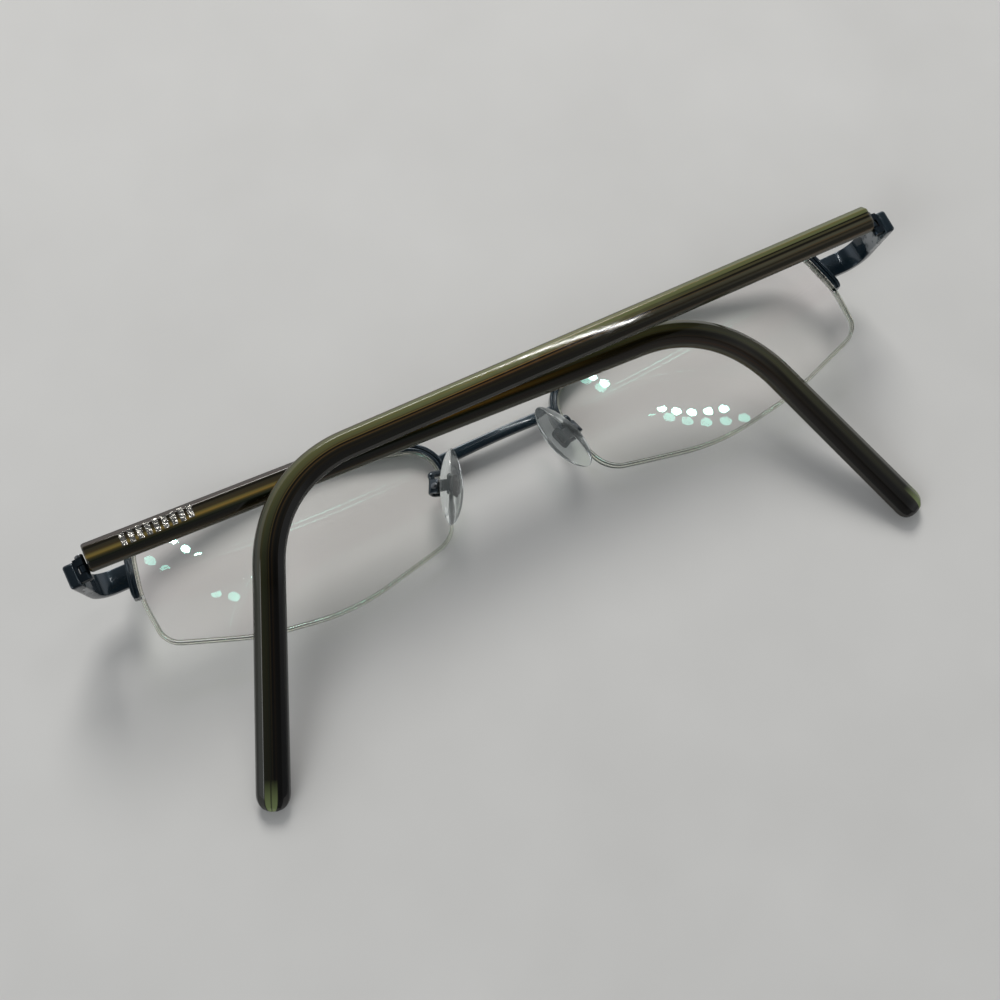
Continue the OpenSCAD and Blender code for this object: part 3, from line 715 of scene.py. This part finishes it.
# the two temples are bent differently: curl is where the tip starts to curl out, rise the angle
# over level, end the height of its very end over the table
templeSet = {
    "left": {"bend": 64.0, "radius": 21.1, "curl": 0.14, "droop": 1.4, "rise": -2.9, "end": 0.87},
    "right": {"bend": 65.9, "radius": 17.9, "curl": 0.52, "droop": 0.3, "rise": 1.1, "end": 0.6},
}
templeSection = [(0.26, 0.5), (0.44, 0.24), (0.5, -0.06), (0.34, -0.5)]   # one half, in shares of both sizes
templeRadii = [0.28, 0.4, 0.9, 0.6]
buttEnd = [(0, 0.84), (0.04, 0.9), (0.12, 0.95), (0.26, 0.985)]   # how far in, and the share of the section


def templeStation(s, setting):
    angle, radius = math.radians(setting["bend"]), setting["radius"]
    cut = radius * math.tan(angle / 2)
    bendStart, bendRun = temple["length"] - cut, radius * angle
    whole = bendStart + bendRun + temple["tipLength"] - cut
    curlStart = bendStart + bendRun * setting["curl"]

    def curled(at):
        d = max(0.0, at - curlStart)
        return d * d / 2 / temple["blend"] if d < temple["blend"] else d - temple["blend"] / 2

    reach = temple["length"] + temple["tipLength"] * math.cos(angle)
    drop = hinge["z"] + templeMid + math.sin(math.radians(setting["rise"])) * reach - setting["end"]
    curl = drop / curled(whole)
    a = min(1, max(0, (s - bendStart) / bendRun)) * angle
    t = max(0, s - bendStart - bendRun)
    x = min(s, bendStart) + radius * math.sin(a) + t * math.cos(angle)
    y = radius * (math.cos(a) - 1) - t * math.sin(angle)
    slope = math.atan(curl * min(1, max(0, s - curlStart) / temple["blend"]))
    grown = min(1, max(0, s - bendStart) / (whole - bendStart))
    tip = temple["tipH"] / 2
    k = max(0.0002, 1 - min(1, max(0, s - whole + tip) / tip) ** temple["tipBow"]) ** temple["tipRound"]
    return {
        "centre": np.array([x, y, -curl * curled(s)]),
        "up": np.array([math.sin(a), math.cos(a), 0]),
        "out": np.array([math.cos(a) * math.sin(slope), -math.sin(a) * math.sin(slope), math.cos(slope)]),
        "high": k * (temple["h"] + (temple["tipH"] - temple["h"]) * grown),
        "thick": k ** temple["tipFlat"] * (temple["thick"] + (temple["tipThick"] - temple["thick"]) * grown),
        "whole": whole,
    }


def onTemple(verts, faces, side):
    # from the hinge line, out along a level left temple, to its place in the frame
    a = math.radians(templeSet[side]["rise"])
    x, y, z = np.asarray(verts, float).T
    verts = np.c_[x * math.cos(a) - z * math.sin(a), y, x * math.sin(a) + z * math.cos(a)]
    verts = verts + [-hinge["x"], hinge["y"] + browY, hinge["z"]]
    return mirrored(verts, faces, "left") if side == "right" else (verts, faces)


def makeTemple(side):
    setting = templeSet[side]
    droop = math.radians(setting["droop"])
    outline = templeSection + [(-a, b) for a, b in reversed(templeSection)]
    scaled = [(a * temple["h"], b * temple["thick"]) for a, b in outline]
    section, _ = rounded(scaled, templeRadii + templeRadii[::-1], 5)
    section = section / [temple["h"], temple["thick"]]
    whole = templeStation(0, setting)["whole"]
    tip = temple["tipH"] / 2
    stations = np.r_[np.linspace(hinge["butt"] + temple["buttRun"], whole - tip, temple["rings"]),
                     whole - tip * (1 - np.sin(np.linspace(0, math.pi / 2, 12)[1:]))]
    rings, place = [], []
    ends = [(hinge["butt"] + d, k) for d, k in buttEnd]
    for s, k in ends + [(s, 1.0) for s in stations]:
        st = templeStation(s, setting)
        pts = st["centre"] + np.outer(section[:, 0] * st["high"] * k, st["up"])
        pts = pts + np.outer(section[:, 1] * st["thick"] * k, st["out"])
        pts = np.c_[pts[:, 0] * math.cos(droop) + pts[:, 1] * math.sin(droop),
                    pts[:, 1] * math.cos(droop) - pts[:, 0] * math.sin(droop) + temple["rise"],
                    pts[:, 2] + templeMid]
        rings.append(pts)
        place += [(s / 1000, q[0] + 0.5, q[1] + 0.5) for q in section]
    verts, faces = onTemple(*loft(rings), side)
    piece = newMesh(f"{side}_temple_arm", verts, faces, f"{side}_temple", acetateMats[side], 28,
                    {"section": np.array(place)})
    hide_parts(f"{side}_temple")


def stacked(shape, spans, edge=0.06):
    # an outline seen along the hinge line, made solid between each pair of heights
    parts, middle = [], shape.mean(0)
    for low, high in spans:
        steps = ((low, 0.9), (low + edge, 1), (high - edge, 1), (high, 0.9))
        rings = [np.c_[middle + (shape - middle) * k, np.full(len(shape), y)][:, [0, 2, 1]] for y, k in steps]
        parts.append(loft(rings))
    return parts


def makeHinge(side):
    r, half, knuckle = hinge["pin"], hinge["stack"] / 2, hinge["stack"] / 6
    top, slot = half + hinge["head"], hinge["slotDeep"]
    at = np.array([hinge["x"], hinge["y"], hinge["z"]])

    def arc(low, high, count, closed=False):
        turns = np.linspace(low, high, count, endpoint=not closed)
        return [(r * math.cos(a), r * math.sin(a)) for a in turns]

    around = np.array(arc(0, 2 * math.pi, 28, closed=True))
    flange = [(hinge["web"], -r), (hinge["web"], hinge["webTop"])]
    web = np.array(arc(math.pi / 2, math.pi * 1.5, 17) + flange)
    plate = np.array([(hinge["plate"], -r), *flange, (hinge["plate"], hinge["webTop"])])
    inner = knuckle + hinge["plateMore"]
    parts = stacked(web, [(knuckle, half), (-half, -knuckle)]) + stacked(plate, [(-inner, inner)])
    verts, faces = joinParts(parts)
    verts, faces = placed(verts + at, faces, side, onFront=False)
    piece = newMesh(f"{side}_knuckles", verts, faces, "front", hingeMetal, 40)
    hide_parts(f"{side}_front_hinge")
    # the slotted head is a thin disc with two cheeks on it
    gapAngle = math.asin(hinge["slotHalf"] / r)
    cheek = np.array(arc(gapAngle, math.pi - gapAngle, 15))
    parts = stacked(around, [(half + hinge["gap"], top - hinge["neck"])])
    parts += stacked(around * hinge["shank"], [(-half, half)])
    parts += stacked(cheek, [(top - slot, top)]) + stacked(-cheek, [(top - slot, top)])
    verts, faces = joinParts(parts)
    verts, faces = placed(verts + at, faces, side, onFront=False)
    piece = newMesh(f"{side}_pivot_screw", verts, faces, "front", screwMetal, 40)
    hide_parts(f"{side}_hinge_screw")
    x0, x1, z0, z1 = (hinge[k] for k in ("leafIn", "leafOut", "leafLow", "leafTop"))
    leaf = np.array([(x0, z0), (x1, z0), (x1, z1), (x0, z1)])
    width = knuckle - hinge["play"]
    verts, faces = joinParts(stacked(around, [(-width, width)]) + stacked(leaf, [(-width, width)]))
    verts, faces = onTemple(verts, faces, side)
    piece = newMesh(f"{side}_hinge_leaf", verts, faces, f"{side}_temple", hingeMetal, 40)
    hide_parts(f"{side}_temple_hinge")


for side in ("left", "right"):
    makeTemple(side)
    makeHinge(side)
print("temples made")

# ---- nose pads

pad = {
    "l": 11.7, "w": 5.1, "thick": 1.9, "x": 9.1, "bent": 1.7, "y": -8.8, "z": 6.0, "splay": 63.0,
    "lean": {"left": 27.5, "right": 16.5}, "stem": 2.35, "bow": 18.0, "backBow": 1.4, "egg": 0.1,
    "faceShare": 0.96, "rimShare": 0.965, "bulge": 0.03, "sunk": 0.02,
}


def fromPad(verts, side):
    # the pad's own frame: Z out of its face, Y along it
    s, l = math.radians(pad["splay"]), math.radians(pad["lean"][side])
    turn = np.array([[math.cos(l), -math.sin(l), 0], [math.sin(l), math.cos(l), 0], [0, 0, 1]])
    turn = turn @ np.array([[math.cos(s), 0, -math.sin(s)], [0, 1, 0], [math.sin(s), 0, math.cos(s)]])
    x = pad["x"] + (pad["bent"] if side == "left" else -pad["bent"])
    return np.asarray(verts, float) @ turn.T + [x, pad["y"], pad["z"]]


def makePad(side):
    around = np.linspace(0, 2 * math.pi, 72, endpoint=False)
    taper = 1 - pad["egg"] * np.sin(around)
    edge = np.c_[pad["w"] / 2 * np.cos(around) * taper, pad["l"] / 2 * np.sin(around)]
    rows = []

    def frontZ(xy):
        return pad["thick"] / 2 - pad["bow"] + np.sqrt(pad["bow"] ** 2 - (xy ** 2).sum(1))

    def backZ(xy):
        r = pad["backBow"] * pad["bow"]
        return r - pad["thick"] / 2 - np.sqrt(r ** 2 - (xy ** 2).sum(1))

    flats = [edge * s * pad["faceShare"] for s in np.linspace(0, 1, 15)[1:-1]]
    rows += [np.c_[xy, frontZ(xy) - pad["sunk"]] for xy in flats]
    z0, z1 = frontZ(edge * pad["rimShare"]), backZ(edge * pad["rimShare"])
    for a in np.linspace(math.pi / 2, -math.pi / 2, 9):
        ring = edge * (pad["rimShare"] + pad["bulge"] * math.cos(a))
        rows.append(np.c_[ring, (z0 + z1) / 2 + (z0 - z1) / 2 * math.sin(a)])
    rows += [np.c_[xy, backZ(xy) + pad["sunk"]] for xy in flats[::-1]]
    m, c = len(rows), len(edge)
    tops = pad["thick"] / 2 - pad["sunk"]
    verts = np.vstack(rows + [[[0, 0, tops]], [[0, 0, -tops]]])
    faces = [(j * c + i, (j + 1) * c + i, (j + 1) * c + (i + 1) % c, j * c + (i + 1) % c)
             for j in range(m - 1) for i in range(c)]
    faces += [(m * c, i, (i + 1) % c) for i in range(c)]
    faces += [(m * c + 1, (m - 1) * c + (i + 1) % c, (m - 1) * c + i) for i in range(c)]
    faces = faceOut(verts, faces)
    verts, faces = placed(fromPad(verts, side), faces, side, onFront=False)
    piece = newMesh(f"{side}_pad", verts, faces, f"{side}_pad", siliconeMat, 60)
    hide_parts(f"{side}_nose_pad")


for side in ("left", "right"):
    makePad(side)
print("pads made")

# ---- pad inserts, arms and screws

padParts = {
    "ring": (1.05, 1.55), "ringRound": 0.6, "hole": (0.42, 0.85), "holeRound": 0.3, "ringThick": 0.36,
    "eased": (0.96, 1.08, 0.5), "eye": (0.9, 1.5), "eyeShare": 0.8, "eyeEdge": 0.06,
    "box": (2.0, 1.9), "boxBack": 1.1, "boxFront": 0.5, "slot": 1.06, "slotFloor": 0.28, "lip": 0.1,
    "lipShare": 0.93, "lipUp": 0.05, "wire": 0.48, "below": 2.1, "back": 3.15, "lift": 0.1, "wearAndSheen": 0.25,
    "shank": 0.3, "head": 0.5, "headHigh": 0.2,
}


def slab(outline, x0, x1, bevel):
    # outline in (y, z), thickened along x with its rims eased
    c = np.mean(outline, axis=0)
    rings = []
    for x, k in ((x0, 1), (x0 + bevel, 0), (x1 - bevel, 0), (x1, 1)):
        d = outline - c
        inset = d - k * bevel * d / np.maximum(np.linalg.norm(d, axis=1), 1e-6)[:, None]
        rings.append(np.c_[np.full(len(d), x), inset + c])
    return loft(rings)


def makeInsert(side):
    t = padParts["ringThick"] / 2
    (ow, ol), (iw, il) = padParts["ring"], padParts["hole"]
    outer, _ = rounded([(-ow, -ol), (ow, -ol), (ow, ol), (-ow, ol)], padParts["ringRound"], 6)
    inner, _ = rounded([(-iw, -il), (iw, -il), (iw, il), (-iw, il)], padParts["holeRound"], 6)
    less, more, low = padParts["eased"]
    steps = [(outer, t * low), (outer * less, t), (inner * more, t), (inner, t * low), (inner, -t * low),
             (inner * more, -t), (outer * less, -t), (outer, -t * low)]
    ring = loft([np.c_[xy, np.full(len(xy), z)] for xy, z in steps], closed=True)
    w, h = padParts["eye"]
    end = [(h / 2 * math.cos(a), -pad["stem"] + h / 2 * math.sin(a)) for a in np.linspace(0, -math.pi, 17)]
    root = -t * padParts["eyeShare"]
    eye = slab(np.array([(h / 2, root), *end, (-h / 2, root)]), -w / 2, w / 2, padParts["eyeEdge"])
    verts, faces = joinParts([ring, eye])
    verts, faces = placed(fromPad(verts, side), faces, side, onFront=False)
    piece = newMesh(f"{side}_insert", verts, faces, f"{side}_pad", insertMetal, 40)
    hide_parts(f"{side}_pad_insert")


def makeArm(side):
    away = 1 if side == "left" else -1
    x = front["gap"] / 2 - rimDetail["wall"] / 2 + away * front["shift"]
    y = bridge["y"] - padParts["below"]
    top = front["thick"] / 2 + rimDetail["proud"]
    z = frontPoint([(x, y)], top)[0][2]
    # the wire leaves the back of the rim, then runs down the back of the pad box
    back = padParts["back"]
    far = -back - padParts["lift"]
    near = fromPad([(0, 2.1, far), (0, 1.5, far), (0, 0.98, -back)], side)
    line = smoothLine([(x - 0.1, y, z - 0.3), (x + 0.15, y - 0.1, z + 0.6), *near], 10)
    wire = tube(line, padParts["wire"], 14)
    (w, h), slot = padParts["box"], padParts["slot"]
    low, high = -pad["stem"] - padParts["boxBack"], -pad["stem"] + padParts["boxFront"]
    floor = low + padParts["slotFloor"]
    shape, _ = rounded([(-w / 2, high), (-w / 2, low), (w / 2, low), (w / 2, high), (slot / 2, high),
                        (slot / 2, floor), (-slot / 2, floor), (-slot / 2, high)],
                       [0.12, 0.55, 0.55, 0.12, 0.08, 0.1, 0.1, 0.08], 5)
    lip, k, flat = padParts["lip"], padParts["lipShare"], np.ones(len(shape))
    eased = np.c_[shape[:, 0] * k, (shape[:, 1] - low) * k + low + padParts["lipUp"]]
    steps = [(eased, -h / 2 - lip), (shape, -h / 2), (shape, h / 2), (eased, h / 2 + lip)]
    cup = loft([np.c_[ring[:, 0], flat * v, ring[:, 1]] for ring, v in steps])
    verts, faces = joinParts([wire, (fromPad(cup[0], side), cup[1])])
    verts, faces = placed(verts, faces, side, onFront=False)
    wearAndSheen = np.full(len(verts), padParts["wearAndSheen"])
    piece = newMesh(f"{side}_arm", verts, faces, "front", lacquerFrame, 40, {"wearAndSheen": wearAndSheen})
    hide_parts(f"{side}_pad_arm")
    a = np.linspace(0, 2 * math.pi, 20, endpoint=False)
    shank, head, high = padParts["shank"], padParts["head"], padParts["headHigh"]
    steps = [(-w / 2 - 0.02, shank), (w / 2, shank), (w / 2, head), (w / 2 + high * 0.7, head * 0.92),
             (w / 2 + high, head * 0.6)]
    rings = [np.c_[np.full(20, at), r * np.cos(a), -pad["stem"] + r * np.sin(a)] for at, r in steps]
    verts, faces = loft(rings)
    verts, faces = placed(fromPad(verts, side), faces, side, onFront=False)
    piece = newMesh(f"{side}_arm_screw", verts, faces, "front", screwMetal, 40)
    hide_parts(f"{side}_pad_screw")


for side in ("left", "right"):
    makeInsert(side)
    makeArm(side)
print("pad hardware made")

# ---- the bars stay as the CAD made them

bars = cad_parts["left_temple_bars"].data
bars.materials.clear()
bars.materials.append(barMetal)

# ---- floor, light and camera

def stageMaterial():
    mat, nt, bsdf, _ = material("pale table")
    cloud = grain(nt, 30, 3)
    colour = ramp(nt, cloud, [(0.3, (0.56, 0.555, 0.54)), (0.7, (0.6, 0.595, 0.58))])
    nt.links.new(colour, bsdf.inputs["Base Color"])
    bsdf.inputs["Roughness"].default_value = 0.7
    return mat


floorMesh = bpy.data.meshes.new("floor")
floorMesh.from_pydata([(-2, -2, 0), (2, -2, 0), (2, 2, 0), (-2, 2, 0)], [], [(0, 1, 2, 3)])
floor = bpy.data.objects.new("floor", floorMesh)
bpy.context.scene.collection.objects.link(floor)
floorMesh.materials.append(stageMaterial())


def areaLight(name, where, size, power, colour):
    # a round lamp that faces the middle of the table
    data = bpy.data.lights.new(name, "AREA")
    data.shape = "DISK"
    data.size = size
    data.energy = power
    data.color = colour
    obj = bpy.data.objects.new(name, data)
    bpy.context.scene.collection.objects.link(obj)
    z = unit(where)
    x = unit(np.cross([0.13, 0.05, 1], z))
    turn = Matrix(np.c_[x, np.cross(z, x), z].tolist())
    obj.matrix_world = Matrix.Translation(where) @ turn.to_4x4()


areaLight("key", (0.28, 0.95, 0.8), 0.5, 11.0, (1.0, 0.985, 0.96))
areaLight("fill", (-0.9, -0.35, 0.75), 0.7, 3.5, (0.95, 0.98, 1.0))
# a bent row of small round lamps close by, which shows in the coating of both lenses
lampRow = [(143, 105), (139, 111), (135, 118), (130, 124), (126, 130), (120, 136), (114, 141), (107, 145),
           (99, 148), (91, 150)]
lamp = {"z": 320, "size": 5.2, "power": 0.005, "colour": (1.0, 1.0, 0.98)}
for k, (x, y) in enumerate(lampRow):
    areaLight(f"lamp_{k}", (x * mm, y * mm, lamp["z"] * mm), lamp["size"] * mm, lamp["power"], lamp["colour"])

world = bpy.data.worlds.new("soft room")
world.use_nodes = True
wt = world.node_tree
heading = node(wt, "ShaderNodeSeparateXYZ", {0: node(wt, "ShaderNodeTexCoord").outputs["Generated"]})
room = ramp(wt, heading.outputs["Z"], [(0.0, (0.8, 0.82, 0.85)), (0.45, (0.95, 0.97, 1.0)),
                                      (0.62, (0.5, 0.51, 0.53)), (0.78, (0.14, 0.145, 0.15))])
half = node(wt, "ShaderNodeMath", {0: heading.outputs["Y"], 1: 0.5, 2: 0.5}, operation="MULTIPLY_ADD")
behind = ramp(wt, half.outputs[0], [(0.12, (0.22,) * 3), (0.42, (1, 1, 1))])
wt.links.new(blended(wt, "MULTIPLY", 1.0, room, behind), wt.nodes["Background"].inputs[0])
wt.nodes["Background"].inputs[1].default_value = 0.95
bpy.context.scene.world = world

# tilt is the angle between the line of sight and straight down, roll the way in which straight down
# lies as the camera sees it, counted clockwise from its right, and yaw turns the frame about Z
view = {"lens": 57.888, "tilt": 18.7142, "roll": 106.9713, "yaw": 27.47, "at": (-56.2, -68.3, 226.3)}
tilt, roll, yaw = (math.radians(view[k]) for k in ("tilt", "roll", "yaw"))
down = np.array([math.sin(tilt) * math.cos(roll), math.sin(tilt) * math.sin(roll), math.cos(tilt)])
east = np.array([math.cos(yaw), -math.sin(yaw), 0])
east = unit(east - (east @ down) * down)
axes = np.c_[east, np.cross(-down, east), -down]   # columns: the frame's axes seen from the camera
camData = bpy.data.cameras.new("camera")
camData.sensor_width = 36
camData.lens = view["lens"]
camData.clip_start = 0.01
camera = bpy.data.objects.new("camera", camData)
turn = Matrix(np.c_[axes[0], -axes[1], -axes[2]].tolist())
place = (np.array(view["at"]) + [0, browY, 0]) * mm
camera.matrix_world = Matrix.Translation(place) @ turn.to_4x4()
bpy.context.scene.collection.objects.link(camera)
bpy.context.scene.camera = camera
bpy.context.scene.view_settings.view_transform = "Standard"
print("stage set")
